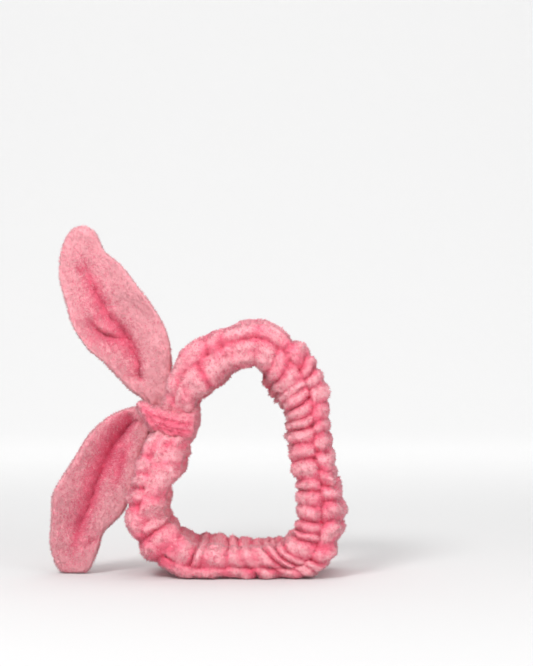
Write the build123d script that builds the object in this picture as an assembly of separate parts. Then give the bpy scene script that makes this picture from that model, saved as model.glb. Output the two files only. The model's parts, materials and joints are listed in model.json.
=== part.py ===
"""Plush spa headband: a gathered tube on a flat elastic, with a two-eared bow held by a wrapped knot.

It stands on the flattened bottom of its loop. +Z is up, +Y runs from the front rim to the back rim,
+X points away from the bow, and the origin is on the ground, below the middle of the whole piece.
"""
from build123d import *
from math import cos, radians, sin, sqrt
import os

# ---- Band: a plush tube round a flat elastic -------------------------------------------------------
BAND_DEPTH = 62.0          # front rim to back rim
BAND_EDGE_RADIUS = 8.0     # how round the rims are
COVER_WALL = 4.5           # knitted backing with its pile, gathered
SPLIT_X = 38.0             # the loop's two halves meet at this X, at the top and at the bottom
SPLIT_GAP = 0.3

# The loop's outer outline (X, Z), closed, clockwise from the left end of its flat bottom.
LOOP_OUTER = [
    (-14, 0), (-37, 12), (-51, 42), (-46, 77), (-33, 104), (-23, 127), (-9, 160),
    (23, 178), (52, 179), (80, 156), (93, 121), (98, 82), (107.5, 42), (97, 11), (68, 0),
]
# The loop's inner outline, closed, clockwise from the left end of its level bottom.
LOOP_INNER = [
    (2, 23), (-21, 43), (-14, 69), (-5, 92), (-2, 112), (12, 136), (38, 147), (56, 131),
    (64, 105), (68, 70), (68, 41), (52, 23),
]
# The line that the elastic and the side seam follow, half-way through the band.
LOOP_MIDDLE = [
    (30, 10), (3, 11), (-23, 20), (-36, 42), (-30.5, 72), (-19.5, 97), (-9.5, 128), (12, 156),
    (38, 163.5), (62, 152), (78, 118), (81.5, 87), (87.5, 57), (85, 32), (73, 17),
]

ELASTIC_WIDTH = 25.0
ELASTIC_THICKNESS = 1.2
SIDE_SEAM_WIDTH = 6.0      # the tube's seam allowance, inside the front rim
SIDE_SEAM_THICKNESS = 2.0
SIDE_SEAM_BREAK = 66.0     # the stretch at the knot where it is pressed flat and left out
SEAM_GAP = 0.2

# ---- Knot: pinches the band and holds the bow against its outside ----------------------------------
KNOT_X = -15.0             # the knot's middle, half-way through the band
KNOT_Z = 110.0
KNOT_TILT = 17.0           # the band leans this far from upright where the knot holds it
PINCH_DEPTH = 44.0         # the band's depth under the knot
PINCH_RADIUS = 45.0        # how gently the band narrows to it
PINCH_REACH = 64.0         # wide enough for the knot's side of the band, and short of its far side
KNOT_REACH = 42.0          # wider than the band where the knot holds it
END_SEAM_SIZE = (33.0, 10.0)
END_SEAM_WIDTH = 8.0       # the overlap of the tube's two ends, along the band
END_SEAM_THICKNESS = 1.5
WRAP_DEPTH = 51.0
WRAP_EDGE_RADIUS = 3.0
# The wrap seen from the front (X, Z): a fan, narrow between the ears and wide inside the loop.
WRAP_OUTLINE = [(-43.5, 125), (-43.5, 119), (-33, 102), (-21, 98), (-5, 95), (3.5, 122), (-28, 121)]
WRAP_SEAM_SIZE = (2.0, 40.0, 12.0)
WRAP_SEAM_OFFSET = 15.1    # from the knot's middle
STITCH_RADIUS = 0.5
STITCH_LENGTH = 4.0
TACK_STITCHES = 3          # on each side
TACK_SPACING = 4.0
TACK_LENGTH = 7.0
JOIN_STITCH_ROWS = 2
JOIN_STITCHES_IN_ROW = 5
JOIN_STITCH_LENGTH = 3.0

# ---- Bow: one strip with a leaf-shaped ear at each end ---------------------------------------------
HINGE_RADIUS = 4.5         # the gathered strip where an ear bends out of the knot
HINGE_CLEARANCE = 0.4
HINGE_LENGTH = 24.0
HINGE_SWEEP = 9.6          # the wrap leaves this much room round each bend
WAIST_THICKNESS = 5.0
NECK_LENGTH = 12.0         # from the swing axis to the flop axis
NECK_WIDTH = 10.0
NECK_THICKNESS = 6.0
NECK_COLLAR_DEPTH = 20.0
NECK_COLLAR_END = 7.5
FLOP_RADIUS = 4.0
FLOP_LENGTH = 12.0
EAR_ROOT_START = 1.0       # the ear's panels begin this far past the flop axis

EAR_THICKNESS = 10.0
EAR_WALL = 3.0
EAR_CUP_RADIUS = 45.0      # the ears are cupped towards the front
EAR_CUP_Y = 3.0            # the cup's deepest line
EAR_REACH = 200.0          # longer than an ear
SEAM_INSET = 1.0
EAR_STITCHES = 28
WADDING_GAP = 0.5

UPPER_SWING = (-31.0, 127.0)
UPPER_LEAN = 23.5          # from straight up, away from the band
UPPER_VALLEY = (-65.8, 186.2)
UPPER_VALLEY_LEAN = 25.5
UPPER_OUTLINE = [
    (-44, 129), (-58, 140), (-81, 163), (-95, 193), (-101, 214), (-98, 238), (-86, 250), (-73, 243),
    (-55, 221), (-35, 195), (-23.5, 172), (-22.5, 155), (-26, 138),
]

LOWER_SWING = (-39.0, 112.0)
LOWER_LEAN = 155.0         # from straight up, away from the band
LOWER_VALLEY = (-68.0, 79.0)
LOWER_VALLEY_LEAN = 155.0
LOWER_OUTLINE = [
    (-46, 100), (-46.5, 86), (-49.5, 73), (-54.5, 56), (-58.5, 43), (-67, 31), (-74, 15), (-82, 0.3),
    (-98, 0.3), (-106, 13), (-107.5, 29), (-105.5, 54), (-91, 83), (-79, 101), (-66, 111), (-54, 112),
]

CUT = 800.0                # larger than the whole piece
TINY = 0.01


def loop_directions(points):
    """The loop's direction at each point: level on a level stretch, else in line with its neighbours."""
    directions = []
    for number, point in enumerate(points):
        before, after = points[number - 1], points[(number + 1) % len(points)]
        if after[1] == point[1]:
            before = point
        elif before[1] == point[1]:
            after = point
        directions.append((Vector(after) - Vector(before)).normalized())
    return directions


def two_arcs(start, end, start_direction, end_direction):
    """Two arcs that join start to end, tangent to each other and to both directions."""
    chord = end - start
    turn = 2 * (1 - start_direction.dot(end_direction))
    lean = chord.dot(start_direction + end_direction)
    arm = chord.dot(chord) / (lean + sqrt(lean ** 2 + turn * chord.dot(chord)))
    start_arm = start + start_direction * arm
    end_arm = end - end_direction * arm
    middle = (start_arm + end_arm) / 2
    first = TangentArc(start, middle, tangent=start_direction)
    second = TangentArc(middle, end, tangent=end_arm - start_arm)
    return first + second


def loop_face(points, inset=0.0):
    """The face inside a smooth loop of arcs through the points, (X, Z), moved in by inset.

    Two neighbours at one height are joined by a level, straight stretch.
    """
    directions = loop_directions(points)
    outline = Curve()
    for number, point in enumerate(points):
        after = (number + 1) % len(points)
        if points[after][1] == point[1]:
            outline += Line(point, points[after])
        else:
            outline += two_arcs(Vector(point), Vector(points[after]), directions[number], directions[after])
    face = Plane.XZ * make_face(outline)
    return offset(face, -inset) if inset else face


def rounded(solid, depth, radius):
    """Rounds the edges round the front and the back of a solid that was extruded along Y."""
    ends = [edge for edge in solid.edges() if abs(abs(edge.center().Y) - depth / 2) < TINY]
    return fillet(ends, radius)


def knot_plane():
    """Origin in the knot's middle, X along the band as it climbs, Y to the back."""
    along = Vector(sin(radians(KNOT_TILT)), 0, cos(radians(KNOT_TILT)))
    return Plane(origin=(KNOT_X, 0, KNOT_Z), x_dir=along, z_dir=along.cross(Vector(0, 1, 0)))


def band_ring(depth):
    """The band's outside as a square-edged ring."""
    return extrude(loop_face(LOOP_OUTER) - loop_face(LOOP_INNER), depth / 2, both=True)


def pinched(ring, inset):
    """A band's ring, narrowed where the knot pinches it."""
    saddle = Cylinder(PINCH_RADIUS + inset, PINCH_REACH)
    for side in (-1, 1):
        ring -= knot_plane() * Pos(0, side * (PINCH_DEPTH / 2 + PINCH_RADIUS), 0) * saddle
    return ring


def band_solid():
    """The band's outside, with no hollow."""
    return pinched(rounded(band_ring(BAND_DEPTH), BAND_DEPTH, BAND_EDGE_RADIUS), 0)


def band_hollow():
    """The space inside the tube."""
    section = loop_face(LOOP_OUTER, COVER_WALL) - loop_face(LOOP_INNER, -COVER_WALL)
    return pinched(extrude(section, BAND_DEPTH / 2 - COVER_WALL, both=True), COVER_WALL)


def ribbon(width, thickness, middle_y):
    """A flat strip all round the loop, on its middle line."""
    strip = loop_face(LOOP_MIDDLE, -thickness / 2) - loop_face(LOOP_MIDDLE, thickness / 2)
    return Pos(0, middle_y, 0) * extrude(strip, width / 2, both=True)


def solids_of(shape):
    """Only the shape's solids, without any sheet that a cut along a wall leaves."""
    return Compound(children=shape.solids())


def knot_half(solid):
    return split(solid, Plane.YZ.offset(SPLIT_X - SPLIT_GAP / 2), keep=Keep.BOTTOM)


def far_half(solid):
    return split(solid, Plane.YZ.offset(SPLIT_X + SPLIT_GAP / 2), keep=Keep.TOP)


def at_knot(length, depth, height):
    """A box round the band's middle at the knot: its length is along the band."""
    return knot_plane() * Box(length, depth, height)


def band_end_seam():
    """The tube's joined ends, a flat sleeve inside the cover under the knot."""
    outer_depth, outer_height = END_SEAM_SIZE
    inner_depth = outer_depth - 2 * END_SEAM_THICKNESS
    inner_height = outer_height - 2 * END_SEAM_THICKNESS
    sleeve = at_knot(END_SEAM_WIDTH, outer_depth, outer_height)
    return sleeve - at_knot(CUT, inner_depth, inner_height)


def side_seam():
    """The seam allowance of the tube's long seam, inside the front rim, open where the knot pinches it."""
    middle_y = -BAND_DEPTH / 2 + COVER_WALL + SEAM_GAP + SIDE_SEAM_WIDTH / 2
    strip = ribbon(SIDE_SEAM_WIDTH, SIDE_SEAM_THICKNESS, middle_y)
    return strip - at_knot(SIDE_SEAM_BREAK, CUT, KNOT_REACH)


def stitch(plane, length=STITCH_LENGTH):
    return plane * Cylinder(STITCH_RADIUS, length)


def elastic_join_stitches():
    """Two rows of stitches through the elastic's overlap, under the knot."""
    spacing = ELASTIC_WIDTH / (JOIN_STITCHES_IN_ROW + 1)
    point = Vector(KNOT_X, 0, KNOT_Z)
    plane = knot_plane()
    along = plane.x_dir
    stitches = []
    for row in range(JOIN_STITCH_ROWS):
        for place in range(JOIN_STITCHES_IN_ROW):
            y = (place - (JOIN_STITCHES_IN_ROW - 1) / 2) * spacing
            origin = point + along * (row - (JOIN_STITCH_ROWS - 1) / 2) * spacing + Vector(0, y, 0)
            stitches.append(stitch(Plane(origin=origin, z_dir=plane.z_dir), JOIN_STITCH_LENGTH))
    return Compound(children=stitches)


class Ear:
    """One ear of the bow: its two bending axes, its outline and its cupped shape."""

    def __init__(self, swing, lean, valley, valley_lean, outline):
        self.swing = Vector(swing[0], 0, swing[1])
        self.along = Vector(-sin(radians(lean)), 0, cos(radians(lean)))
        self.across = self.along.cross(Vector(0, -1, 0))
        self.flop = self.swing + self.along * NECK_LENGTH
        valley_along = Vector(-sin(radians(valley_lean)), 0, cos(radians(valley_lean)))
        axis_y = EAR_CUP_Y - EAR_CUP_RADIUS
        self.cup = Plane(origin=(valley[0], axis_y, valley[1]), z_dir=valley_along)
        self.outline = outline

    def swing_cylinder(self, radius, length):
        return Plane(origin=self.swing, z_dir=(0, 1, 0)) * Cylinder(radius, length)

    def flop_cylinder(self, radius, length):
        return Plane(origin=self.flop, z_dir=self.across) * Cylinder(radius, length)

    def neck_box(self, start, end, width, thickness):
        """A box from start to end along the neck, measured from the swing axis."""
        middle = self.swing + self.along * (start + end) / 2
        plane = Plane(origin=middle, x_dir=self.across, z_dir=self.along)
        return plane * Box(width, thickness, end - start)

    def cup_layer(self, inner_offset, outer_offset):
        """The space between two cylinders about the cup's axis."""
        outer = Cylinder(EAR_CUP_RADIUS + outer_offset, EAR_REACH)
        inner = Cylinder(EAR_CUP_RADIUS + inner_offset, EAR_REACH)
        back_space = Box(CUT, CUT, CUT, align=(Align.CENTER, Align.MIN, Align.CENTER))
        return (self.cup * (outer - inner)) & (Pos(0, self.cup.origin.Y, 0) * back_space)

    def blank(self, inset, half_thickness):
        """The leaf cut out of a cupped sheet, and trimmed clear of the neck."""
        prism = extrude(loop_face(self.outline, inset), BAND_DEPTH, both=True)
        sheet = prism & self.cup_layer(-half_thickness, half_thickness)
        sheet -= self.neck_box(-EAR_REACH, NECK_LENGTH + EAR_ROOT_START, CUT, CUT)
        return sheet - self.flop_cylinder(FLOP_RADIUS + HINGE_CLEARANCE, CUT)

    def neck(self):
        """The gathered root, which swings about Y and carries the axis that the ear flops about."""
        stem = self.neck_box(0, NECK_LENGTH, NECK_WIDTH, NECK_THICKNESS)
        collar = self.neck_box(0, NECK_COLLAR_END, NECK_WIDTH, NECK_COLLAR_DEPTH)
        bend = self.flop_cylinder(FLOP_RADIUS, FLOP_LENGTH)
        room = self.swing_cylinder(HINGE_RADIUS + HINGE_CLEARANCE, CUT)
        behind = self.neck_box(-EAR_REACH, HINGE_RADIUS / 2, CUT, CUT)
        return stem + collar + bend - room - behind

    def panels(self):
        """Front and back panels, which meet at the seam round the edge and hold the wadding."""
        shell = self.blank(0, EAR_THICKNESS / 2) - self.blank(EAR_WALL, EAR_THICKNESS / 2 - EAR_WALL)
        front = shell & self.cup_layer(-EAR_THICKNESS, 0)
        back = shell & self.cup_layer(0, EAR_THICKNESS)
        return front, back

    def wadding(self):
        return self.blank(EAR_WALL + WADDING_GAP, EAR_THICKNESS / 2 - EAR_WALL - WADDING_GAP)

    def seam(self):
        """Stitches through both panels, just inside the ear's edge, from its root round to its root."""
        edge = loop_face(self.outline, SEAM_INSET).wires()[0]
        root_limit = NECK_LENGTH + EAR_ROOT_START + STITCH_LENGTH
        stitches = []
        for number in range(EAR_STITCHES):
            point = edge.position_at(number / EAR_STITCHES)
            if (point - self.swing).dot(self.along) < root_limit:
                continue
            local = self.cup.to_local_coords(point)
            sideways = self.cup.x_dir * local.X + self.cup.y_dir * local.Y
            flat = Vector(sideways.X, 0, sideways.Z)
            rise = (EAR_CUP_RADIUS ** 2 - flat.length ** 2) ** 0.5
            normal = (flat + Vector(0, rise, 0)).normalized()
            origin = Vector(point.X, self.cup.origin.Y + rise, point.Z)
            stitches.append(stitch(Plane(origin=origin, z_dir=normal)))
        return Compound(children=stitches)


def bow_waist(ears):
    """The strip's gathered middle, from one ear's bend to the other's."""
    upper, lower = ears
    reach = upper.swing - lower.swing
    plane = Plane(origin=(upper.swing + lower.swing) / 2, x_dir=(0, 1, 0), z_dir=reach)
    waist = plane * Box(HINGE_LENGTH, WAIST_THICKNESS, reach.length)
    for ear in ears:
        waist += ear.swing_cylinder(HINGE_RADIUS, HINGE_LENGTH)
    return waist


def knot_wrap(band, waist, ears):
    """The strip that goes round the band and the waist of the bow."""
    fan = Plane.XZ * make_face(Polyline(*WRAP_OUTLINE, close=True))
    wrap = rounded(extrude(fan, WRAP_DEPTH / 2, both=True), WRAP_DEPTH, WRAP_EDGE_RADIUS)
    wrap -= band
    wrap -= band_ring(PINCH_DEPTH)
    for ear in ears:
        wrap -= ear.swing_cylinder(HINGE_SWEEP, HINGE_LENGTH + 2 * HINGE_CLEARANCE)
    return wrap - waist


def knot_wrap_seam():
    """The wrap's sewn end, on the side of the knot that faces into the loop."""
    plane = knot_plane()
    outside = Vector(cos(radians(KNOT_TILT)), 0, -sin(radians(KNOT_TILT)))
    origin = plane.origin + outside * WRAP_SEAM_OFFSET
    return Plane(origin=origin, x_dir=outside, z_dir=plane.x_dir) * Box(*WRAP_SEAM_SIZE)


def bow_tack_stitches(ears):
    """Stitches that hold the front and back of the bow's waist to the wrap."""
    upper, lower = ears
    middle = (upper.swing + lower.swing) / 2
    reach = (upper.swing - lower.swing).normalized()
    stitches = []
    for side in (-1, 1):
        for number in range(TACK_STITCHES):
            place = reach * (number - (TACK_STITCHES - 1) / 2) * TACK_SPACING
            origin = middle + place + Vector(0, side * HINGE_LENGTH / 2, 0)
            stitches.append(stitch(Plane(origin=origin, z_dir=(0, 1, 0)), TACK_LENGTH))
    return Compound(children=stitches)


def build():
    """Every sub-part, by the name of its node."""
    ears = (
        Ear(UPPER_SWING, UPPER_LEAN, UPPER_VALLEY, UPPER_VALLEY_LEAN, UPPER_OUTLINE),
        Ear(LOWER_SWING, LOWER_LEAN, LOWER_VALLEY, LOWER_VALLEY_LEAN, LOWER_OUTLINE),
    )
    band = band_solid()
    hollow = band_hollow()
    cover = band - hollow
    elastic = solids_of(ribbon(ELASTIC_WIDTH, ELASTIC_THICKNESS, 0) & hollow)
    seam = solids_of(side_seam() & hollow)
    waist = bow_waist(ears)
    parts = {
        "band_cover_knot_side": knot_half(cover),
        "band_cover_far_side": far_half(cover),
        "elastic_knot_side": knot_half(elastic),
        "elastic_far_side": far_half(elastic),
        "side_seam_knot_side": knot_half(seam),
        "side_seam_far_side": far_half(seam),
        "band_end_seam": band_end_seam(),
        "elastic_join_stitches": elastic_join_stitches(),
        "bow_waist": waist,
        "knot_wrap": knot_wrap(band, waist, ears),
        "knot_wrap_seam": knot_wrap_seam(),
        "bow_tack_stitches": bow_tack_stitches(ears),
    }
    for name, ear in zip(("upper_ear", "lower_ear"), ears):
        front, back = ear.panels()
        parts[name + "_neck"] = ear.neck()
        parts[name + "_front_panel"] = front
        parts[name + "_back_panel"] = back
        parts[name + "_wadding"] = ear.wadding()
        parts[name + "_seam"] = ear.seam()
    return parts


os.makedirs("parts", exist_ok=True)
for node, shape in build().items():
    export_step(shape, f"parts/{node}.step")
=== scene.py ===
"""The looks of a plush spa headband: gathered cover, bow ears, wrapped knot, pile, floor and light.

Outlines are in millimetres in the frame's own axes (X away from the bow, Y to the back, Z up);
meshes are made in metres. A tube's surface is a grid: its rows go along the tube, its columns round it.
"""

import json
import math

import bpy
import numpy as np
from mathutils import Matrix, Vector

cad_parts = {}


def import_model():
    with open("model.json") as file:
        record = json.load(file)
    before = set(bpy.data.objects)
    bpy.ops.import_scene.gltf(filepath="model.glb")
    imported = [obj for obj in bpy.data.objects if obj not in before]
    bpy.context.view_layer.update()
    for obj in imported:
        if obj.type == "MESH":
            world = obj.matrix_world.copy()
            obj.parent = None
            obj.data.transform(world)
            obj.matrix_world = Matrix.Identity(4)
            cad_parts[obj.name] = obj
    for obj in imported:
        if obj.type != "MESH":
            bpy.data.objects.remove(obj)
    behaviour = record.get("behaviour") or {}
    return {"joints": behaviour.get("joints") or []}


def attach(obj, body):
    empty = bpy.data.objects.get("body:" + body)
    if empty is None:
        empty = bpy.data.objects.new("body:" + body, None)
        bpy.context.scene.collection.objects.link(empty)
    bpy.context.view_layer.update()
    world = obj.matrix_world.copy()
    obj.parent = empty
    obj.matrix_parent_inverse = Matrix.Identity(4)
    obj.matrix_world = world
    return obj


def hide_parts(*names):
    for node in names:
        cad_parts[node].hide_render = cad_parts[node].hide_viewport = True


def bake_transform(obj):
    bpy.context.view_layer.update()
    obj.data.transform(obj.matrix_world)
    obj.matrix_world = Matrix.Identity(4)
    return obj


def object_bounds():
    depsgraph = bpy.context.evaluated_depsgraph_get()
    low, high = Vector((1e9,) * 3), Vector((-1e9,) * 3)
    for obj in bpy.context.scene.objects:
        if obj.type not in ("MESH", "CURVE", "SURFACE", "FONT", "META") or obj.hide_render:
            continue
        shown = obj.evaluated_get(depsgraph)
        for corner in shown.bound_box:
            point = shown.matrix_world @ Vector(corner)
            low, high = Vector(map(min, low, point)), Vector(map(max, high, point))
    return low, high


MM = 0.001
TURN = 2 * math.pi
TINY = 1e-12                       # keeps a length of nothing out of a division
SPLINE_STEPS = 40                  # between two stations
WAVES = 26                         # how many waves make up smooth noise
WAVE_SPREAD = (0.7, 1.5)           # their lengths, against the noise's
CREASE_END = 0.2                   # how strong a crease still is at its ends

# ---- Camera ----------------------------------------------------------------------------------------
VIEW_CENTRE = (48.6, 173.0)        # what the middle of the picture looks at (X, Z)
VIEW_HEIGHT = 466.0                # how much of the front rim's plane the picture is high
CAMERA_DISTANCE = 1100.0           # from the front rim
SENSOR = 36.0

# ---- Band ------------------------------------------------------------------------------------------
# Stations clockwise from the knot: outer edge X, Z; inner edge X, Z; half depth; how far the back rim
# lies from the front one, in X and in Z; height of the gathers.
BAND_STATIONS = [
    (-28, 115, -2, 108, 20, 0, 0, 0.6),
    (-23, 141, -1, 121, 27, 2, -1, 1.8),
    (-13, 161, 6, 131, 30, 4, -3, 2.6),
    (4, 173, 16, 139, 31, 4, -4, 2.2),
    (25, 180, 29, 146, 31, 0, 0, 1.5),
    (43, 183, 39, 148, 31, -2, 4.5, 1.8),
    (60, 177.5, 47, 145, 31, -4, 0, 2.6),
    (75, 166, 53, 135, 31, -6, -5, 3.2),
    (86, 151, 58, 127, 31, -5, -4, 3.6),
    (92, 135, 62.5, 118, 31, -3, -2, 3.8),
    (93.5, 118, 64, 106, 31, -1, 0, 3.8),
    (94.5, 100, 64.5, 93, 31, 1, 0, 3.8),
    (96.5, 82, 66.5, 79, 31, 3, 0, 3.8),
    (100.5, 64, 69, 65, 31, 6, 0, 3.8),
    (102, 45, 70, 48, 31, 8.5, 0, 3.8),
    (100, 26, 67, 33, 31, 8, 0, 3.6),
    (93, 9, 58, 25, 31, 5, 0, 3.2),
    (82, 0.5, 47, 22, 31, 2, 0, 3.0),
    (61, -1.5, 36, 22, 31, 0, 1, 3.0),
    (38, -1.5, 24, 22, 31, 0, 2, 3.2),
    (12, -1.5, 12, 23, 31, 0, 3, 3.4),
    (-15, 0.0, 0, 25, 31, 0, 2, 3.6),
    (-33, 11, -11, 31, 31, 0, 0, 3.6),
    (-45.5, 25, -20, 40, 31, 1, 0, 3.6),
    (-52.5, 42, -24, 50, 31, 2, 0, 3.4),
    (-50, 57, -20, 62, 31, 2, 0, 3.2),
    (-47, 73, -12, 75, 31, 2, 0, 2.5),
    (-44, 87, -8, 86, 30, 2, 0, 2.0),
    (-36, 100, -5.5, 96, 26, 1, 0, 1.4),
]
BAND_GRID = (640, 150)             # rows, columns
BAND_SQUARENESS = 3.3              # 2 would be an ellipse
SEAM_ACROSS = 0.2                  # the front seam, from the rim's middle towards the outer edge
SEAM_WANDER = [(0.07, 45, 8)]      # height, wavelength, seed
SEAM_DEPTH = 2.6
SEAM_HALF_WIDTH = 1.8
SEAM_CORE = 0.55                   # the share of the groove that is narrow; the rest is wider
SEAM_FLARE = 3                     # how much wider the rest is
SEAM_BLEND = 0.12                  # how sharply the outer lobes give way to the inner ones
BACK_SEAM = 0.6                    # how deep the back rim's groove is, against the front seam
RIM_START = 0.8                    # the share through the tube from which a rim's groove sets in
RIM_BLEND = 0.15
KNOT_CLEAR = (-30, 5)              # between these X the groove comes out from under the knot
LEAST_NEAR_KNOT = 0.3
OUTER_LOBES = 32
INNER_LOBES = 36
INNER_LOBE_SHARE = 0.85            # how high the inner lobes are, against the outer ones
LOBE_HEIGHT = 1.4                  # against the stations' height of the gathers
LOBE_LEVEL = 0.68                  # the lobe height that lies on the stations' outline
LOBE_ROUNDNESS = 0.95
LOBE_WANDER = [(0.0045, 28, 1)]    # how far the creases stray, as a share of the loop; wavelength, seed
LOBE_SEEDS = (2, 3)                # of the outer and the inner lobes
LOBE_WIDTHS = (0.5, 1.5)
LOBE_DEPTHS = (0.45, 0.95)
LOBE_BULGES = (0.85, 1.15)
CREASE_CHANGE = 0.35               # how much a crease's depth changes on its way round the tube
SHALLOWEST = 0.15
TIGHT_LOBES = (0.2, 0.74)          # the share of the loop, from the knot, where the lobes are narrow
WIDE_LOBE = 1.7
FOLD_HEIGHT = 0.7                  # of the lengthwise folds where the band is hardly gathered
FOLD_GATHER = (1.8, 3.2)           # the gathers' height at which those folds are full, and gone
FOLDS_ACROSS = 1.6
FOLD_WANDER = [(0.25, 60, 4)]      # in folds; wavelength, seed
DISH_REACH = 0.68
DISH_GATHER = 2.5                  # the gathers' height from which the sides are drawn in fully
OUTER_DISH = 1.5                   # the elastic draws the middle of the tube's sides in
INNER_DISH = 4.5
INNER_FULLNESS = 1.3
PILE_ROOM = 1.3                    # from the surface under the pile to the outlines
BAND_UNEVENNESS = [                # height, wavelength, seed
    (1.0, 22, 5),
    (0.4, 6, 6),
    (0.14, 2.6, 7),
]
BAND_LEVEL = 0.75                  # how pale the cover is, and the painted shade its creases and groove take off and the painted light and shade of its folds
CREASE_PAINTED_SHADE = 0.6
# How much painted shade the seam's groove takes off the level.
GROOVE_PAINTED_SHADE = 0.2
# Painted light on the folds' crests and painted shade in their troughs.
FOLD_PAINTED_LIGHT = 0.06
BAND_MOTTLE = [(0.05, 18, 9)]      # height, wavelength, seed
FULL_GATHER = 3                    # the gathers' height from which their creases take the full painted shade
LEAST_CREASED = 0.3
WALL_GRID = (110, 32)
WALL = 4.5                         # how far the cover's inner side is from its outside
BAND_NAP = (0.25, -0.2, -0.35)
BAND_PILE_SEED = 11
FLOOR_GAP = 0.2

ELASTIC_GRID = (240, 24)
ELASTIC_WIDTH = 25.0
ELASTIC_THICKNESS = 1.2
ELASTIC_POWER = 0.3                # a flat section with rounded corners

# ---- Ears ------------------------------------------------------------------------------------------
# Stations from inside the knot to the tip: left edge X, Z; right edge X, Z; where the valley lies
# between them; half thickness.
UPPER_STATIONS = [
    (-38, 120, -26, 115, 0.40, 7.5),
    (-42, 126.7, -19.6, 124, 0.30, 8.0),
    (-51, 132.3, -18.9, 140, 0.37, 7.5),
    (-58, 140, -18.9, 154.7, 0.45, 7.0),
    (-68.6, 152, -21, 168, 0.56, 6.5),
    (-80.5, 163, -25.2, 180.6, 0.60, 6.3),
    (-90.3, 178, -34.3, 195.3, 0.55, 6.2),
    (-95.2, 193, -43.4, 207, 0.50, 6.0),
    (-100.8, 211.4, -55.3, 222, 0.50, 5.8),
    (-100.8, 225.4, -65.8, 230.6, 0.45, 5.6),
    (-98, 238, -70.2, 238.2, 0.41, 5.4),
    (-93, 246.4, -74.8, 245.6, 0.41, 4.6),
    (-86, 250.1, -82, 250.1, 0.50, 1.0),
]
UPPER_VALLEY = [
    (-87.5, 233.8), (-78.4, 211.4), (-65.8, 186.2), (-53.2, 172.9), (-47.6, 163), (-42, 151.2),
    (-41.3, 137.2),
]
UPPER_POCKET = [(-84, 188.5), (-77, 179.5), (-69.3, 172.8), (-60.2, 169.4), (-51, 168.5)]
UPPER_DIMPLE = [(-91, 221.5), (-86.8, 218.5), (-83.5, 214)]
LOWER_STATIONS = [
    (-38, 121, -30, 112, 0.45, 7.5),
    (-42.7, 121, -33, 103.6, 0.45, 7.5),
    (-56, 117.6, -34.5, 96, 0.42, 7.5),
    (-67.9, 111.3, -39.5, 87.0, 0.49, 7.2),
    (-79, 100.8, -42.5, 75.5, 0.44, 7.0),
    (-89.6, 84, -45, 64, 0.44, 6.8),
    (-98, 71, -52.5, 46.2, 0.52, 6.6),
    (-105, 57.4, -58.8, 38.5, 0.56, 6.4),
    (-106.4, 40.6, -67.9, 29.4, 0.56, 6.2),
    (-107.8, 23, -71, 20, 0.50, 6.0),
    (-105.7, 11.9, -74, 11, 0.45, 5.6),
    (-101.5, 2.8, -79, 2, 0.42, 4.8),
    (-96, 0.4, -84, 0.4, 0.50, 2.0),
]
LOWER_VALLEY = [
    (-42, 112.7), (-51, 105), (-61, 93), (-68, 79), (-73.5, 65), (-79, 49), (-86, 34), (-92.4, 4.2),
]
LOWER_ROLL = [(-45, 99), (-53, 88), (-57, 72), (-61, 58)]
LOWER_TIP_FOLD = [(-84, 17), (-76, 23.5), (-68, 27)]
# The creases of each ear: the line; its width to the line's left and right, its depth and how much painted
# shade it lays on the pink, each as a pair, at the ear's root and at its tip; and the shares of the line
# over which it fades in and out.
UPPER_CREASES = [
    (UPPER_VALLEY, (1.6, 10.0), (9.0, 9.0), (8.5, 3.0), (0.7, 0.7), (0.3, 0.04)),
    (UPPER_POCKET, (1.6, 1.6), (10.0, 10.0), (7.0, 7.0), (0.5, 0.5), (0.45, 0.35)),
    (UPPER_DIMPLE, (3.0, 3.0), (2.0, 2.0), (1.4, 1.4), (0.3, 0.3), (0.5, 0.5)),
]
LOWER_CREASES = [
    (LOWER_VALLEY, (1.8, 7.8), (10.0, 8.0), (10.0, 3.5), (1.045, 0.665), (0.04, 0.3)),
    (LOWER_ROLL, (5.0, 5.0), (5.0, 5.0), (1.0, 1.0), (0.65, 0.65), (0.4, 0.4)),
    (LOWER_TIP_FOLD, (4.0, 4.0), (2.5, 2.5), (3.0, 3.0), (0.35, 0.35), (0.4, 0.4)),
]
EARS = {
    "upper_ear": {
        "stations": UPPER_STATIONS,
        "creases": UPPER_CREASES,
        "root": 1 / 11,            # the share of the ear's length that counts as its root
        "pale": 1.0,               # the level away from the creases, and the most painted shade that a crease takes off
        "most_painted_shade": 0.85,
        "nap": (0.1, 0, 0.5),
        "seed": 41,
    },
    "lower_ear": {
        "stations": LOWER_STATIONS,
        "creases": LOWER_CREASES,
        "root": 0.0,
        "pale": 0.96,
        "most_painted_shade": 0.9,
        "nap": (-0.3, 0, -0.5),
        "seed": 42,
    },
}
EAR_GRID = (230, 120)
EAR_POWER = 0.8                    # below 1, the section is fuller than an ellipse
CUP_RADIUS = 45.0
CUP_Y = 3.0
CUP_LIMIT = 0.9                    # the share of its radius at which the cup stops falling away
LEAST_WIDTH = 0.3                  # of the outline that is left at a tip under the pile
BACK_SINK = 0.9                    # how much of a crease in the front also shows at the back
FACING_GAIN = 1.6                  # how soon a surface counts as facing the front
EDGE_POWER = 6                     # how close to the edge the creases and unevenness reach
EDGE_DETAIL = 0.2
PLEATS = 7
PLEAT_HEIGHT = 1.1
PLEAT_REACH = 0.16                 # the share of the ear's length that the knot's pleats reach
TIP_TAPER = 0.05
EAR_UNEVENNESS = [                 # height, wavelength, seed
    (0.7, 26, 21),
    (0.16, 6, 22),
    (0.1, 2.6, 23),
]

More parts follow.
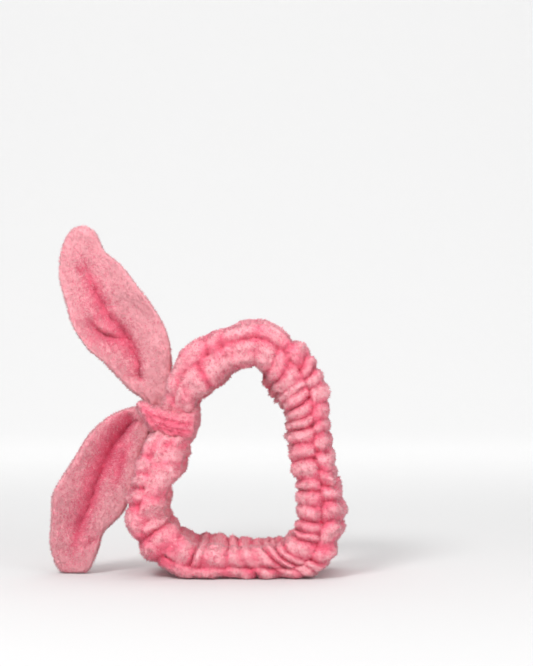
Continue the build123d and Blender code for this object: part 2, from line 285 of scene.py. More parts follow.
# ---- Knot ------------------------------------------------------------------------------------------
# Stations from the ears' roots to the side inside the loop: X; upper and lower edge Z; half depth.
WRAP_STATIONS = [
    (-44.2, 121.0, 119.5, 4),
    (-42.8, 122.8, 117.5, 12),
    (-40.0, 123.2, 113.5, 18),
    (-36.0, 122.4, 107.0, 22),
    (-31.5, 121.2, 101.5, 24.5),
    (-26.0, 120.4, 98.8, 25.5),
    (-20.0, 120.0, 97.0, 26),
    (-14.0, 119.8, 95.4, 26),
    (-9.5, 119.8, 94.6, 25.5),
    (-5.5, 120.4, 96.5, 24),
    (-2.2, 120.6, 102.5, 21),
    (-0.4, 118.8, 109.0, 14),
    (0.2, 116.8, 113.0, 4),
]
WRAP_GRID = (150, 150)
WRAP_SQUARENESS = 3.2
WRAP_FOLDS = [
    [(-42, 121.5), (-38.5, 119.5), (-31.5, 115.2), (-21, 111.9), (-11.9, 109.6), (-1.5, 109.5)],
    [(-39, 120), (-33, 112), (-22.4, 107.3), (-12, 104.6), (-3, 103.5)],
    [(-33, 108), (-21, 104.2), (-14.7, 103.2), (-7, 101)],
]
WRAP_FOLD_DEPTH = 1.5
WRAP_FOLD_WIDTHS = (1.6, 3.2)
WRAP_FOLD_FADE = 0.15
# How pale the wrap is, set below the band's as painted shade in the knot; its folds take off more painted
# shade.
WRAP_LEVEL = 0.68
WRAP_FOLD_PAINTED_SHADE = 0.4
WRAP_UNEVENNESS = [                # height, wavelength, seed
    (0.5, 14, 31),
    (0.3, 5, 32),
    (0.12, 2.4, 33),
]
WRAP_NAP = (0.5, -0.1, -0.25)
WRAP_PILE_SEED = 34

# ---- Pile ------------------------------------------------------------------------------------------
TUFT_RADIUS = 0.36
TUFT_RADIUS_SPREAD = (0.75, 1.35)
TUFT_LENGTH = (1.1, 2.5)
TUFT_ROUNDNESS = 0.6
TUFT_TILT = 0.18                   # how unevenly the locks catch the light
TUFT_LEAN = (20.0, 68.0)           # degrees away from the surface's normal
TUFT_LIE_SPREAD = 0.8              # how far the locks stray from the nap
TUFT_SHADE_SPREAD = 0.17
TUFT_TURN = 0.5
TUFT_TIP_LEAN = 0.5                # how far the light's normal at the tip leans with the lock
TUFT_SIDES = np.array([(0, 1, 3), (1, 2, 3), (2, 0, 3), (0, 2, 1)])
TUFT_SUNK = 0.5
TUFTS_PER_PIECE = 45000
BAND_TUFTS = 110000
EAR_TUFTS = 44000
WRAP_TUFTS = 10000

# ---- Colours, as linear light ----------------------------------------------------------------------
DEEP_PINK = (0.88, 0.075, 0.16)
MID_PINK = (0.94, 0.20, 0.29)
PALE_PINK = (0.96, 0.44, 0.49)
# From deep to pale: each lock takes the level under it, so the deeper shades fall where creases are painted
# in shade; a random spread mixes them.
PILE_SHADES = [
    (0.91, 0.09, 0.19),
    (0.935, 0.145, 0.25),
    (0.95, 0.195, 0.295),
    (0.96, 0.28, 0.365),
    (0.97, 0.46, 0.505),
]
ELASTIC_WHITE = (0.85, 0.83, 0.80)
SHEEN_TINT = (1.0, 0.80, 0.82)
FLOOR_WHITE = 0.705
BACKDROP_WHITE = 0.80
BACKDROP_GLOW = 0.25

# ---- Materials' finish -----------------------------------------------------------------------------
FABRIC_ROUGHNESS = 0.95
FABRIC_SPECULAR = 0.2
SHEEN_ROUGHNESS = 0.45
GROUND_SHEEN = 0.5                 # of the surface under the pile
PILE_SHEEN = 0.6
MOTTLE_SCALE = 160
MOTTLE_DETAIL = 3
MOTTLE_SHARE = 0.5
CLUMP_SCALE = 700
CLUMP_DETAIL = 4
CLUMP_STRENGTH = 0.8
CLUMP_HEIGHT = 0.0008              # metres
# Deep pink where the creases are painted in shade, pale pink on the lobes.
RAMP_STOPS = [(0.2, DEEP_PINK), (0.75, MID_PINK), (1.0, PALE_PINK)]
ELASTIC_ROUGHNESS = 0.8

# ---- Stage and lights, in metres and watts ---------------------------------------------------------
STAGE_HALF_WIDTH = 4.0
FLOOR_FRONT = -3.0
FLOOR_BACK = 1.6
BACKDROP_RADIUS = 1.2
BACKDROP_TOP = 5.0
BACKDROP_STEPS = 12
STAGE_FADE = (0.1, 1.3)            # the Y over which the floor's white becomes the backdrop's
ROOM_LIGHT = 0.68
LIGHT_TARGET = (0, 0, 0.1)
LIGHTS = [                         # name, place, diameter, power
    ("key_light", (-0.6, -1.0, 1.2), 0.5, 13),
    ("top_light", (0.2, 0.1, 1.6), 0.9, 5),
    ("fill_light", (0.9, -0.9, 0.5), 0.8, 4.2),
]


# ---- Grids -----------------------------------------------------------------------------------------
def spline(stations, count, closed):
    """Count rows evenly spaced along a smooth curve through the stations.

    The stations' first four columns are two edges, and the spacing is measured midway between them.
    """
    stations = np.array(stations, float)
    last = len(stations) - 1
    steps = np.linspace(0, 1, SPLINE_STEPS, endpoint=False)[:, None]
    spans = []
    for start in range(last + 1 if closed else last):
        places = [start - 1, start, start + 1, start + 2]
        if closed:
            p0, p1, p2, p3 = (stations[place % (last + 1)] for place in places)
        else:
            p0, p1, p2, p3 = (stations[min(max(place, 0), last)] for place in places)
        bend = 2 * p0 - 5 * p1 + 4 * p2 - p3 + steps * (3 * (p1 - p2) + p3 - p0)
        spans.append(p1 + 0.5 * steps * (p2 - p0 + steps * bend))
    fine = np.vstack(spans + [stations[:1] if closed else stations[-1:]])
    middle = (fine[:, 0:2] + fine[:, 2:4]) / 2
    walked = np.concatenate([[0], np.cumsum(np.linalg.norm(np.diff(middle, axis=0), axis=1))])
    wanted = np.linspace(0, walked[-1], count, endpoint=not closed)
    return np.column_stack([np.interp(wanted, walked, column) for column in fine.T])


def round_angles(count):
    return np.linspace(0, TURN, count, endpoint=False)


def squared(wave, power):
    """A sine or cosine drawn towards 1 and -1 by a power below 1, for a section that nears a box."""
    return np.sign(wave) * np.abs(wave) ** power


def waves(points, length, seed):
    """Smooth noise of about that wavelength, mostly from -1 to 1."""
    rng = np.random.default_rng(seed)
    directions = rng.normal(size=(WAVES, 3))
    directions /= np.linalg.norm(directions, axis=1)[:, None]
    scales = TURN / (length * rng.uniform(*WAVE_SPREAD, WAVES))
    phases = rng.uniform(0, TURN, WAVES)
    total = np.zeros(points.shape[:-1])
    for direction, scale, phase in zip(directions, scales, phases):
        total += np.cos(points @ direction * scale + phase)
    return total * math.sqrt(1 / WAVES)


def unevenness(points, table):
    """Smooth noise added up from rows of a height, a wavelength and a seed."""
    return sum(height * waves(points, length, seed) for height, length, seed in table)


def grid_normals(points, closed):
    """Unit normals of a grid whose columns close up, pointing out if the grid is the right way round."""
    if closed:
        along = np.roll(points, -1, 0) - np.roll(points, 1, 0)
    else:
        along = np.gradient(points, axis=0)
    around = np.roll(points, -1, 1) - np.roll(points, 1, 1)
    normal = np.cross(along, around)
    return normal / np.maximum(np.linalg.norm(normal, axis=2, keepdims=True), TINY)


def outward(points, *values):
    """The same grids, with their columns in the order that makes the points' normals point out."""
    middle = points.mean(axis=1, keepdims=True)
    normals = grid_normals(points, False)
    facing = np.sum(normals * (points - middle))
    grids = [points, *values]
    return grids if facing > 0 else [grid[:, ::-1] for grid in grids]


def grid_quads(rows, columns, closed):
    row = np.arange(rows if closed else rows - 1)[:, None]
    column = np.arange(columns)[None, :]
    below, beside = (row + 1) % rows, (column + 1) % columns
    corners = (
        row * columns + column,
        below * columns + column,
        below * columns + beside,
        row * columns + beside,
    )
    return np.stack(corners, axis=-1).reshape(-1, 4)


def end_caps(rows, columns):
    """The two end faces of an open grid, as one polygon each."""
    first = list(range(columns))
    last = [(rows - 1) * columns + column for column in reversed(range(columns))]
    return [first, last]


def make_object(name, points, faces, materials):
    mesh = bpy.data.meshes.new(name)
    mesh.from_pydata((np.asarray(points).reshape(-1, 3) * MM).tolist(), [], faces)
    mesh.polygons.foreach_set("use_smooth", np.ones(len(mesh.polygons), bool))
    for material in materials:
        mesh.materials.append(material)
    mesh.update()
    made = bpy.data.objects.new(name, mesh)
    bpy.context.scene.collection.objects.link(made)
    return made


def store(made, values):
    """Keeps each vertex's level for the material: pale on the lobes, deeper where creases, grooves and
    folds are painted in shade.
    """
    attribute = made.data.attributes.new("height", "FLOAT", "POINT")
    attribute.data.foreach_set("value", np.asarray(values, np.float32).ravel())


def line_distance(points, line):
    """Signed distance to a line of points, (X, Z), and the nearest place's share of its length."""
    flat = points[..., [0, 2]]
    line = np.array(line, float)
    best = np.full(flat.shape[:-1], np.inf)
    signed = np.zeros_like(best)
    place = np.zeros_like(best)
    lengths = np.linalg.norm(np.diff(line, axis=0), axis=1)
    walked = np.concatenate([[0], np.cumsum(lengths)])
    for start, end, length, before in zip(line[:-1], line[1:], lengths, walked[:-1]):
        direction = (end - start) / length
        offset = flat - start
        along = np.clip(offset @ direction, 0, length)
        distance = np.linalg.norm(offset - along[..., None] * direction, axis=-1)
        side = np.sign(direction[0] * offset[..., 1] - direction[1] * offset[..., 0])
        nearer = distance < best
        best = np.where(nearer, distance, best)
        signed = np.where(nearer, distance * np.where(side == 0, 1, side), signed)
        place = np.where(nearer, (before + along) / walked[-1], place)
    return signed, place


def crease(points, line, left_width, right_width, start_fade, end_fade):
    """1 on a line and less on both sides of it, with a width for each side; it fades towards its ends."""
    signed, place = line_distance(points, line)
    ends = np.clip(np.minimum(place / start_fade, (1 - place) / end_fade), 0, 1)
    middle = (left_width + right_width) / 2
    width = middle + ends * (np.where(signed > 0, left_width, right_width) - middle)
    return np.exp(-np.abs(signed) / width) * (CREASE_END + (1 - CREASE_END) * ends)


# ---- Materials -------------------------------------------------------------------------------------
def shader_of(name):
    """A new material, its node tree and its shader."""
    material = bpy.data.materials.new(name)
    material.use_nodes = True
    tree = material.node_tree
    return material, tree, tree.nodes["Principled BSDF"]


def noise(tree, place, scale, detail):
    made = tree.nodes.new("ShaderNodeTexNoise")
    made.inputs["Scale"].default_value = scale
    made.inputs["Detail"].default_value = detail
    tree.links.new(place.outputs["Object"], made.inputs["Vector"])
    return made.outputs["Fac"]


def fabric(shader, sheen):
    shader.inputs["Roughness"].default_value = FABRIC_ROUGHNESS
    shader.inputs["Specular IOR Level"].default_value = FABRIC_SPECULAR
    shader.inputs["Sheen Weight"].default_value = sheen
    shader.inputs["Sheen Roughness"].default_value = SHEEN_ROUGHNESS
    shader.inputs["Sheen Tint"].default_value = (*SHEEN_TINT, 1)


def plush(name):
    """The ground under the pile: deep in the creases as painted shade, pale on the lobes, mottled and
    finely clumped.
    """
    material, tree, shader = shader_of(name)
    nodes, links = tree.nodes, tree.links
    fabric(shader, GROUND_SHEEN)
    place = nodes.new("ShaderNodeTexCoord")
    # The stored level, painted shade of the creases included, picks the colour from the ramp.
    height = nodes.new("ShaderNodeAttribute")
    height.attribute_name = "height"
    mixed = nodes.new("ShaderNodeMath")
    mixed.operation = "MULTIPLY_ADD"
    mixed.inputs[1].default_value = MOTTLE_SHARE
    links.new(noise(tree, place, MOTTLE_SCALE, MOTTLE_DETAIL), mixed.inputs[0])
    links.new(height.outputs["Fac"], mixed.inputs[2])
    ramp = nodes.new("ShaderNodeValToRGB")
    stops = ramp.color_ramp.elements
    for stop, (position, colour) in zip(stops, (RAMP_STOPS[0], RAMP_STOPS[-1])):
        stop.position = position
        stop.color = (*colour, 1)
    position, colour = RAMP_STOPS[1]
    stops.new(position).color = (*colour, 1)
    links.new(mixed.outputs[0], ramp.inputs["Fac"])
    links.new(ramp.outputs["Color"], shader.inputs["Base Color"])
    bump = nodes.new("ShaderNodeBump")
    bump.inputs["Strength"].default_value = CLUMP_STRENGTH
    bump.inputs["Distance"].default_value = CLUMP_HEIGHT
    links.new(noise(tree, place, CLUMP_SCALE, CLUMP_DETAIL), bump.inputs["Height"])
    links.new(bump.outputs["Normal"], shader.inputs["Normal"])
    return material


def pile_shades(name):
    """One plain material for each shade of the pile."""
    shades = []
    for number, colour in enumerate(PILE_SHADES):
        material, _, shader = shader_of(f"{name}_{number}")
        fabric(shader, PILE_SHEEN)
        shader.inputs["Base Color"].default_value = (*colour, 1)
        shades.append(material)
    return shades


def plain(name, colour, roughness):
    material, _, shader = shader_of(name)
    shader.inputs["Base Color"].default_value = (*colour, 1)
    shader.inputs["Roughness"].default_value = roughness
    return material


# ---- Pile ------------------------------------------------------------------------------------------
def pile_locks(points, quads, height, number, nap, rng):
    """The corners of small pointed locks all over a surface, the normals that light them, their levels."""
    corners = points.reshape(-1, 3)[quads]
    normals = np.cross(corners[:, 2] - corners[:, 0], corners[:, 3] - corners[:, 1])
    areas = np.linalg.norm(normals, axis=1)
    normals /= np.maximum(areas, TINY)[:, None]
    chosen = rng.choice(len(quads), number, p=areas / areas.sum())
    u, v = rng.random((2, number, 1))
    a, b, c, d = corners[chosen].transpose(1, 0, 2)
    base = a * (1 - u) * (1 - v) + b * u * (1 - v) + c * u * v + d * (1 - u) * v
    normal = normals[chosen]
    lie = np.array(nap) + TUFT_LIE_SPREAD * rng.normal(size=(number, 3))
    lie -= np.sum(lie * normal, axis=1, keepdims=True) * normal
    lie /= np.maximum(np.linalg.norm(lie, axis=1, keepdims=True), TINY)
    lean = np.radians(rng.uniform(*TUFT_LEAN, (number, 1)))
    direction = normal * np.cos(lean) + lie * np.sin(lean)
    side = np.cross(lie, normal)
    length = rng.uniform(*TUFT_LENGTH, (number, 1))
    root = base - TUFT_SUNK * normal
    radius = TUFT_RADIUS * rng.uniform(*TUFT_RADIUS_SPREAD, (number, 1))
    turns = [TUFT_TURN + TURN * third / 3 for third in range(3)]
    around = [math.cos(turn) * side + math.sin(turn) * lie for turn in turns]
    ring = [root + radius * turned for turned in around]
    tip = root + direction * (length + TUFT_SUNK)
    locks = np.stack([*ring, tip], axis=1)
    locks[:, :, 2] = np.maximum(locks[:, :, 2], FLOOR_GAP)
    # A lock's level: the surface's, painted crease shade included, and a random spread.
    level = height.reshape(-1)[quads[chosen]].mean(axis=1) + TUFT_SHADE_SPREAD * rng.normal(size=number)
    tilt = normal + TUFT_TILT * rng.normal(size=(number, 3))
    facing = [tilt + TUFT_ROUNDNESS * turned for turned in around]
    facing = np.stack([*facing, tilt + TUFT_TIP_LEAN * direction], axis=1)
    facing /= np.linalg.norm(facing, axis=2, keepdims=True)
    return locks, facing, level


def pile(name, points, quads, height, number, nap, shades, seed):
    """Pile all over a surface, leaning along nap, in pieces of a limited size."""
    locks, facing, level = pile_locks(points, quads, height, number, nap, np.random.default_rng(seed))
    shade = np.clip((level * len(shades)).astype(int), 0, len(shades) - 1).astype(np.int32)
    made = []
    for start in range(0, number, TUFTS_PER_PIECE):
        part = slice(start, start + TUFTS_PER_PIECE)
        first_corners = np.arange(len(locks[part]))[:, None, None] * 4
        faces = (first_corners + TUFT_SIDES).reshape(-1, 3).tolist()
        piece = make_object(f"{name}_{start // TUFTS_PER_PIECE}", locks[part], faces, shades)
        piece.data.polygons.foreach_set("material_index", np.repeat(shade[part], len(TUFT_SIDES)))
        piece.data.normals_split_custom_set_from_vertices(facing[part].reshape(-1, 3).tolist())
        made.append(piece)
    return made


# ---- Band ------------------------------------------------------------------------------------------
def band_tube(grid, inset):
    """The tube's smooth surface: points, shares across the rim and through it, half width and gathers."""
    rows = spline(BAND_STATIONS, grid[0], True)
    outer, inner, depth, shift = rows[:, 0:2], rows[:, 2:4], rows[:, 4], rows[:, 5:7]
    middle, half = (outer + inner) / 2, (outer - inner) / 2
    half_width = np.linalg.norm(half, axis=1)
    half *= (1 - (inset + PILE_ROOM) / half_width)[:, None]
    angle = round_angles(grid[1])
    across = squared(np.cos(angle), 2 / BAND_SQUARENESS)
    through = squared(np.sin(angle), 2 / BAND_SQUARENESS)
    y = (depth - inset - PILE_ROOM / 2)[:, None] * through[None, :]
    back = ((through[None, :] + 1) / 2) ** 2
    flat = middle[:, None, :] + half[:, None, :] * across[None, :, None]
    flat = flat + shift[:, None, :] * back[..., None]
    points = np.stack([flat[..., 0], y, flat[..., 1]], axis=-1)
    return points, across, through, half_width, rows[:, 7]


def lobes(place, angle, count, seed):
    """Rounded lobes between sharp creases of uneven spacing and depth: 0 in a deep crease, 1 on a lobe."""
    rng = np.random.default_rng(seed)
    widths = rng.uniform(*LOBE_WIDTHS, count)
    share = np.arange(count) / count
    widths *= np.where((share < TIGHT_LOBES[0]) | (share > TIGHT_LOBES[1]), WIDE_LOBE, 1)
    edges = np.concatenate([[0], np.cumsum(widths) / widths.sum()])
    place = place % 1.0
    index = np.clip(np.searchsorted(edges, place, side="right") - 1, 0, count - 1)
    phase = (place - edges[index]) / (edges[index + 1] - edges[index])
    turn = rng.uniform(0, TURN, count)
    strength = rng.uniform(*LOBE_DEPTHS, count)
    before_depth, after_depth = (
        np.clip(strength[crease_index] + CREASE_CHANGE * np.cos(angle + turn[crease_index]), SHALLOWEST, 1)
        for crease_index in (index, (index + 1) % count)
    )
    depth = before_depth * (1 - phase) + after_depth * phase
    bulge = rng.uniform(*LOBE_BULGES, count)[index]
    round_lobe = np.abs(np.sin(math.pi * phase)) ** LOBE_ROUNDNESS
    return 1 - depth + depth * round_lobe * (1 + (bulge - 1) * round_lobe)


def seam_groove(points, through, from_seam, half_width):
    """1 at the bottom of the seam's groove in the rims, and less beside it and under the knot."""
    away = from_seam * half_width[:, None] / SEAM_HALF_WIDTH
    groove = SEAM_CORE * np.exp(-away ** 2) + (1 - SEAM_CORE) * np.exp(-(away / SEAM_FLARE) ** 2)
    on_rim = np.clip((np.abs(through) - RIM_START) / RIM_BLEND, 0, 1)[None, :]
    rim_share = np.where(through < 0, 1.0, BACK_SEAM)[None, :]
    under_knot, clear = KNOT_CLEAR
    clear_of_knot = np.clip((points[..., 0] - under_knot) / (clear - under_knot), LEAST_NEAR_KNOT, 1)
    return groove * on_rim * rim_share * clear_of_knot


def band_surface():
    """The gathered cover's points, its level with painted shade in the creases and groove and painted light
    and shade on the folds, and its quads.
    """
    points, across, through, half_width, gather = band_tube(BAND_GRID, 0)
    normals = grid_normals(points, True)
    rows, columns = BAND_GRID
    place = np.arange(rows)[:, None] / rows + unevenness(points, LOBE_WANDER)
    angle = np.broadcast_to(round_angles(columns), (rows, columns))
    outer = lobes(place, angle, OUTER_LOBES, LOBE_SEEDS[0])
    inner = 1 - INNER_LOBE_SHARE * (1 - lobes(place, angle, INNER_LOBES, LOBE_SEEDS[1]))
    seam_line = (SEAM_ACROSS + unevenness(points, SEAM_WANDER)) * (through < 0)[None, :]
    from_seam = across[None, :] - seam_line
    is_outer = np.clip(0.5 + from_seam / SEAM_BLEND, 0, 1)
    height = outer * is_outer + inner * (1 - is_outer)
    groove = seam_groove(points, through, from_seam, half_width)
    gather = gather[:, None]
    full, gone = FOLD_GATHER
    slack = np.clip((gone - gather) / (gone - full), 0, 1)
    folds = slack * np.cos(TURN * (across[None, :] * FOLDS_ACROSS + unevenness(points, FOLD_WANDER)))
    lift = LOBE_HEIGHT * gather * (height - LOBE_LEVEL) - SEAM_DEPTH * groove + FOLD_HEIGHT * folds
    lift += unevenness(points, BAND_UNEVENNESS)
    dish = np.clip(1 - (through / DISH_REACH) ** 2, 0, 1) * np.where(across > 0, OUTER_DISH, INNER_DISH)
    lift -= dish[None, :] * np.clip(gather / DISH_GATHER, 0, 1)
    lift += INNER_FULLNESS * np.clip(-2 * across, 0, 1)[None, :]
    points = points + normals * lift[..., None]
    points[..., 2] = np.maximum(points[..., 2], FLOOR_GAP)
    # Painted shade: the creases, the seam's groove and the folds' troughs are coloured deeper; the folds'
    # crests are paler as painted light.
    creased = (1 - height) * np.clip(gather / FULL_GATHER, LEAST_CREASED, 1)
    level = BAND_LEVEL - CREASE_PAINTED_SHADE * creased - GROOVE_PAINTED_SHADE * groove + FOLD_PAINTED_LIGHT * folds
    level += unevenness(points, BAND_MOTTLE)
    return points, np.clip(level, 0, 1), grid_quads(rows, columns, True)


def stretch(piece):
    """Bakes a piece of the loop's placement into its mesh."""
    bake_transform(piece)


def band_cover(material, shades):
    points, level, quads = band_surface()
    wall = band_tube(WALL_GRID, WALL)[0].reshape(-1, 3)
    wall_quads = grid_quads(*WALL_GRID, True)[:, ::-1] + level.size
    everything = np.vstack([points.reshape(-1, 3), wall])
    cover = make_object("band_cover", everything, quads.tolist() + wall_quads.tolist(), [material])
    store(cover, np.concatenate([level.ravel(), np.zeros(len(wall))]))
    locks = pile("band_pile", points, quads, level, BAND_TUFTS, BAND_NAP, shades, BAND_PILE_SEED)
    for piece in [cover, *locks]:
        stretch(piece)
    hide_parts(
        "band_cover_knot_side", "band_cover_far_side", "side_seam_knot_side", "side_seam_far_side",
        "band_end_seam",
    )


def elastic(material):
    """The flat elastic inside the tube, in one closed length."""
    rows = spline(BAND_STATIONS, ELASTIC_GRID[0], True)
    middle = (rows[:, 0:2] + rows[:, 2:4]) / 2
    across = (rows[:, 0:2] - rows[:, 2:4]) / 2
    across /= np.linalg.norm(across, axis=1)[:, None]
    angle = round_angles(ELASTIC_GRID[1])
    wide = squared(np.sin(angle), ELASTIC_POWER) * ELASTIC_WIDTH / 2
    thick = squared(np.cos(angle), ELASTIC_POWER) * ELASTIC_THICKNESS / 2
    flat = middle[:, None, :] + across[:, None, :] * thick[None, :, None]
    y = np.broadcast_to(wide, flat.shape[:2])
    points = np.stack([flat[..., 0], y, flat[..., 1]], axis=-1)
    made = make_object("elastic", points, grid_quads(*ELASTIC_GRID, True).tolist(), [material])
    stretch(made)
    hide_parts("elastic_knot_side", "elastic_far_side", "elastic_join_stitches")


# ---- Ears ------------------------------------------------------------------------------------------
def ear_tube(stations):
    """A leaf-shaped cushion, cupped about its valley.

    Besides its points, it gives the share of its length, how far it faces the front, from 0 to 1, and how
    far it is from the edge, from 0 at the edge to 1.
    """
    rows = spline(stations, EAR_GRID[0], False)
    left, right, valley, thickness = rows[:, 0:2], rows[:, 2:4], rows[:, 4], rows[:, 5]
    middle, half = (left + right) / 2, (right - left) / 2
    half_width = np.linalg.norm(half, axis=1)
    half *= np.clip(1 - PILE_ROOM / half_width, LEAST_WIDTH, 1)[:, None]
    angle = round_angles(EAR_GRID[1])
    across = squared(np.cos(angle), EAR_POWER)
    through = squared(np.sin(angle), EAR_POWER)
    from_valley = np.abs(across[None, :] - (2 * valley - 1)[:, None]) * half_width[:, None]
    from_valley = np.minimum(from_valley, CUP_LIMIT * CUP_RADIUS)
    drop = CUP_RADIUS - np.sqrt(CUP_RADIUS ** 2 - from_valley ** 2)
    y = CUP_Y - drop + thickness[:, None] * through[None, :]
    flat = middle[:, None, :] + half[:, None, :] * across[None, :, None]
    inland = np.broadcast_to(1 - np.abs(across) ** EDGE_POWER, y.shape)
    points, inland = outward(np.stack([flat[..., 0], y, flat[..., 1]], axis=-1), inland)
    share = np.linspace(0, 1, EAR_GRID[0])[:, None]
    front = np.clip(-grid_normals(points, False)[..., 1] * FACING_GAIN, 0, 1)
    return points, share, front, inland


def ear_detail(points, share, inland):
    """Pleats at the root and the small unevenness of stuffed plush, along the normals, less at the edge."""
    pleats = np.cos(PLEATS * round_angles(EAR_GRID[1])) * np.clip(1 - share / PLEAT_REACH, 0, 1)
    lift = PLEAT_HEIGHT * pleats + unevenness(points, EAR_UNEVENNESS)
    taper = np.clip((1 - share) / TIP_TAPER, 0, 1) * (EDGE_DETAIL + (1 - EDGE_DETAIL) * inland)
    return points + grid_normals(points, False) * (lift * taper)[..., None]


def ear_surface(stations, creases, root, pale, most_painted_shade):
    """An ear's points, with its creases sunk in, and its level, with painted shade in the creases where it
    faces the front.
    """
    points, share, front, inland = ear_tube(stations)
    toward_tip = np.clip((share - root) / (1 - root), 0, 1)
    sink = 0
    shade = 0
    for line, *pairs, fades in creases:
        left, right, depth, crease_painted_shade = (near + (far - near) * toward_tip for near, far in pairs)
        strength = crease(points, line, left, right, *fades)
        sink = sink + strength * depth
        shade = shade + strength * crease_painted_shade
    points[..., 1] += sink * (BACK_SINK + (1 - BACK_SINK) * front) * inland
    points = ear_detail(points, share, inland)
    points[..., 2] = np.maximum(points[..., 2], FLOOR_GAP)
    # Painted shade: the creases deepen the pink where the ear faces the front.
    return points, np.clip(pale - front * np.clip(shade, 0, most_painted_shade), 0, 1)


def ear(name, joints, material, shades, stations, creases, root, pale, most_painted_shade, nap, seed):
    points, level = ear_surface(stations, creases, root, pale, most_painted_shade)
    quads = grid_quads(*EAR_GRID, False)
    made = make_object(name, points, quads.tolist() + end_caps(*EAR_GRID), [material])
    store(made, level)
    locks = pile(name + "_pile", points, quads, level, EAR_TUFTS, nap, shades, seed)
    for piece in [made, *locks]:
        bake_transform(piece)
    parts = ("_neck", "_front_panel", "_back_panel", "_wadding", "_seam")
    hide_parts(*[name + part for part in parts])


# ---- Knot ------------------------------------------------------------------------------------------
def wrap_surface():
    """The wrap's points, from the ears' roots into the loop, and its level, deeper in the folds as painted
    shade.
    """
    rows = [(x, top, x, bottom, depth) for x, top, bottom, depth in WRAP_STATIONS]
    x, top, _, bottom, half_depth = spline(rows, WRAP_GRID[0], False).T[:, :, None]
    angle = round_angles(WRAP_GRID[1])
    z = (top + bottom) / 2 + (top - bottom) / 2 * squared(np.cos(angle), 2 / WRAP_SQUARENESS)
    y = half_depth * squared(np.sin(angle), 2 / WRAP_SQUARENESS)
    points = outward(np.stack([np.broadcast_to(x, z.shape), y, z], axis=-1))[0]
    folded = np.zeros(z.shape)
    for line in WRAP_FOLDS:
        fold = crease(points, line, *WRAP_FOLD_WIDTHS, WRAP_FOLD_FADE, WRAP_FOLD_FADE)
        folded = np.maximum(folded, fold)
    lift = unevenness(points, WRAP_UNEVENNESS) - WRAP_FOLD_DEPTH * folded
    points = points + grid_normals(points, False) * lift[..., None]
    return points, np.clip(WRAP_LEVEL - WRAP_FOLD_PAINTED_SHADE * folded, 0, 1)


def knot_wrap(material, shades):
    """The strip round the band and the bow, pulled together where the ears meet."""
    points, level = wrap_surface()
    quads = grid_quads(*WRAP_GRID, False)
    made = make_object("knot_wrap_cloth", points, quads.tolist() + end_caps(*WRAP_GRID), [material])
    store(made, level)
    locks = pile("knot_wrap_pile", points, quads, level, WRAP_TUFTS, WRAP_NAP, shades, WRAP_PILE_SEED)
    for piece in [made, *locks]:
        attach(piece, "knot_side")
    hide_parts("knot_wrap", "knot_wrap_seam", "bow_waist", "bow_tack_stitches")


# ---- Stage, light and camera -----------------------------------------------------------------------
def stage_white():
    """A white that is a little greyer on the floor, which catches more light than the backdrop."""
    material, tree, shader = shader_of("stage_white")
    nodes, links = tree.nodes, tree.links
    shader.inputs["Roughness"].default_value = 1.0
    shader.inputs["Specular IOR Level"].default_value = 0.0
    shader.inputs["Emission Color"].default_value = (1, 1, 1, 1)
    place = nodes.new("ShaderNodeTexCoord")
    apart = nodes.new("ShaderNodeSeparateXYZ")
    links.new(place.outputs["Object"], apart.inputs["Vector"])
    fades = [("Base Color", FLOOR_WHITE, BACKDROP_WHITE), ("Emission Strength", 0, BACKDROP_GLOW)]
    for target, near, far in fades:
        fade = nodes.new("ShaderNodeMapRange")
        fade.interpolation_type = "SMOOTHSTEP"
        fade.inputs["From Min"].default_value = STAGE_FADE[0]
        fade.inputs["From Max"].default_value = STAGE_FADE[1]
        fade.inputs["To Min"].default_value = near
        fade.inputs["To Max"].default_value = far
        links.new(apart.outputs["Y"], fade.inputs["Value"])
        links.new(fade.outputs["Result"], shader.inputs[target])
    return material


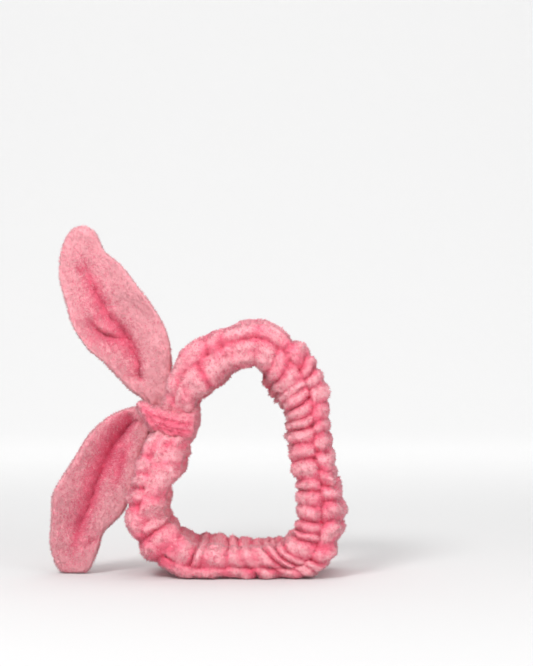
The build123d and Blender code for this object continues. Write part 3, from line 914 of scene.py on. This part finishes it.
def stage():
    """A white floor that curves up into a backdrop."""
    profile = [(FLOOR_FRONT, 0.0), (FLOOR_BACK, 0.0)]
    for step in range(1, BACKDROP_STEPS + 1):
        turn = math.radians(90 * step / BACKDROP_STEPS)
        rise = BACKDROP_RADIUS - BACKDROP_RADIUS * math.cos(turn)
        profile.append((FLOOR_BACK + BACKDROP_RADIUS * math.sin(turn), rise))
    profile.append((FLOOR_BACK + BACKDROP_RADIUS, BACKDROP_TOP))
    sides = (-STAGE_HALF_WIDTH, STAGE_HALF_WIDTH)
    points = [(x / MM, y / MM, z / MM) for y, z in profile for x in sides]
    corners = range(0, len(points) - 2, 2)
    faces = [(corner, corner + 1, corner + 3, corner + 2) for corner in corners]
    make_object("stage_floor", points, faces, [stage_white()])


def area_light(name, place, size, power):
    data = bpy.data.lights.new(name, "AREA")
    data.shape = "DISK"
    data.size = size
    data.energy = power
    made = bpy.data.objects.new(name, data)
    made.location = place
    direction = Vector(LIGHT_TARGET) - Vector(place)
    made.rotation_euler = direction.to_track_quat("-Z", "Y").to_euler()
    bpy.context.scene.collection.objects.link(made)


def light():
    world = bpy.data.worlds.new("white_room")
    world.use_nodes = True
    background = world.node_tree.nodes["Background"]
    background.inputs["Color"].default_value = (1, 1, 1, 1)
    background.inputs["Strength"].default_value = ROOM_LIGHT
    bpy.context.scene.world = world
    bpy.context.scene.view_settings.view_transform = "Standard"
    for lamp in LIGHTS:
        area_light(*lamp)


def camera(front):
    data = bpy.data.cameras.new("camera")
    data.sensor_width = SENSOR
    data.lens = SENSOR * CAMERA_DISTANCE / VIEW_HEIGHT
    made = bpy.data.objects.new("camera", data)
    made.location = (VIEW_CENTRE[0] * MM, front - CAMERA_DISTANCE * MM, VIEW_CENTRE[1] * MM)
    made.rotation_euler = (math.radians(90), 0, 0)
    bpy.context.scene.collection.objects.link(made)
    bpy.context.scene.camera = made


def main():
    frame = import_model()
    cad_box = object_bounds()
    camera(cad_box[0][1])
    light()
    stage()
    plush_band = plush("plush_band")
    plush_bow = plush("plush_bow")
    band_shades = pile_shades("pile_band")
    bow_shades = pile_shades("pile_bow")
    band_cover(plush_band, band_shades)
    elastic(plain("elastic", ELASTIC_WHITE, ELASTIC_ROUGHNESS))
    for name, settings in EARS.items():
        ear(name, frame["joints"], plush_bow, bow_shades, **settings)
    knot_wrap(plush_bow, bow_shades)


main()
